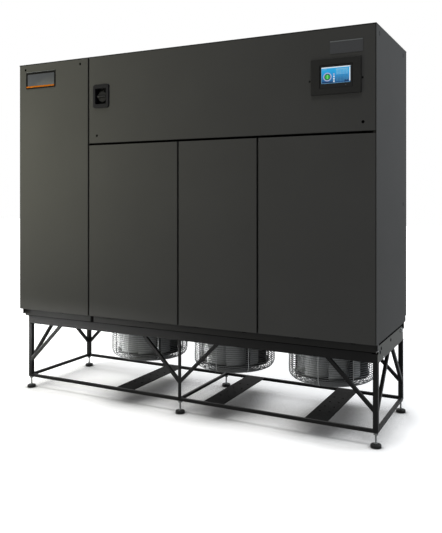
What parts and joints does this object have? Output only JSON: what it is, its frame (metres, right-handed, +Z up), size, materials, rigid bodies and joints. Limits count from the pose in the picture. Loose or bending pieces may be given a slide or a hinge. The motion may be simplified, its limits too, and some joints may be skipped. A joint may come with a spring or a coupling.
{
  "type": "computer room air conditioner",
  "caption": "Downflow computer room air conditioner: a wide dark cabinet with plain lift-off panels on a raised steel floor stand, with plug fans in wire guards under it.",
  "frame": {"origin": "on the floor, under the middle of the machine's box", "axes": "+X to the right seen from the front, +Y to the back, +Z up; the front faces -Y"},
  "size_m": [2.846, 0.901, 2.574],
  "materials": {
    "charcoal_paint": "satin powder coat, fine texture",
    "black_steel": "satin black enamel",
    "grey_steel": "satin grey",
    "casing_steel": "matt dark grey",
    "dark_plastic": "moulded, fine grain",
    "plate_grey": "satin plate",
    "screen": "glossy display behind a clear cover",
    "zinc_wire": "galvanised",
    "fan_carrier": "dark coating",
    "impeller": "rolled sheet",
    "zinc_steel": "zinc plated",
    "rubber": "moulded",
    "filter_media": "pleated fibre"
  },
  "bodies": {
    "frame": {"left_front_panel": "charcoal_paint", "upper_front_panel": "charcoal_paint", "right_lower_panel": "charcoal_paint", "middle_lower_panel": "charcoal_paint", "left_lower_panel": "charcoal_paint", "right_side_panel": "charcoal_paint", "left_side_panel": "charcoal_paint", "right_rear_panel": "charcoal_paint", "middle_rear_panel": "charcoal_paint", "left_rear_panel": "charcoal_paint", "end_rear_panel": "charcoal_paint", "coil_section_casing": "casing_steel", "compressor_section_casing": "casing_steel", "top_long_bars": "charcoal_paint", "top_cross_bars": "charcoal_paint", "top_cover": "charcoal_paint", "return_filters": "filter_media", "base_frame": "black_steel", "base_end_plates": "grey_steel", "base_corner_tabs": "black_steel", "stand_top_long_rails": "black_steel", "stand_top_end_rails": "black_steel", "stand_posts": "black_steel", "stand_bottom_long_rails": "black_steel", "stand_bottom_cross_rails": "black_steel", "stand_front_braces": "black_steel", "stand_rear_braces": "black_steel", "stand_end_braces": "black_steel", "fan_plate_1": "black_steel", "fan_plate_2": "black_steel", "fan_plate_3": "black_steel", "foot_pads": "rubber", "foot_studs": "zinc_steel", "fan_cage_1": "zinc_wire", "fan_cage_2": "zinc_wire", "fan_cage_3": "zinc_wire", "fan_carrier_1": "fan_carrier", "fan_carrier_2": "fan_carrier", "fan_carrier_3": "fan_carrier", "badge_plate": "plate_grey", "name_plate": "plate_grey", "display_bezel": "dark_plastic", "display_screen": "screen", "switch_bezel": "dark_plastic"},
    "fan_1": {"fan_impeller_1": "impeller"},
    "fan_2": {"fan_impeller_2": "impeller"},
    "fan_3": {"fan_impeller_3": "impeller"},
    "disconnect_knob": {"switch_knob": "dark_plastic"}
  },
  "joints": [
    {"name": "fan_1_spin", "type": "hinge", "parent": "frame", "child": "fan_1", "pos_m": [1.005, 0.006, 0.333], "axis": [0, 0, 1], "continuous": true},
    {"name": "fan_2_spin", "type": "hinge", "parent": "frame", "child": "fan_2", "pos_m": [0.264, 0.006, 0.333], "axis": [0, 0, 1], "continuous": true},
    {"name": "fan_3_spin", "type": "hinge", "parent": "frame", "child": "fan_3", "pos_m": [-0.477, 0.006, 0.333], "axis": [0, 0, 1], "continuous": true},
    {"name": "disconnect_turn", "type": "hinge", "parent": "frame", "child": "disconnect_knob", "pos_m": [-0.615, -0.4105, 2.2745], "axis": [0, 1, 0], "range_deg": [0, 90]}
  ]
}
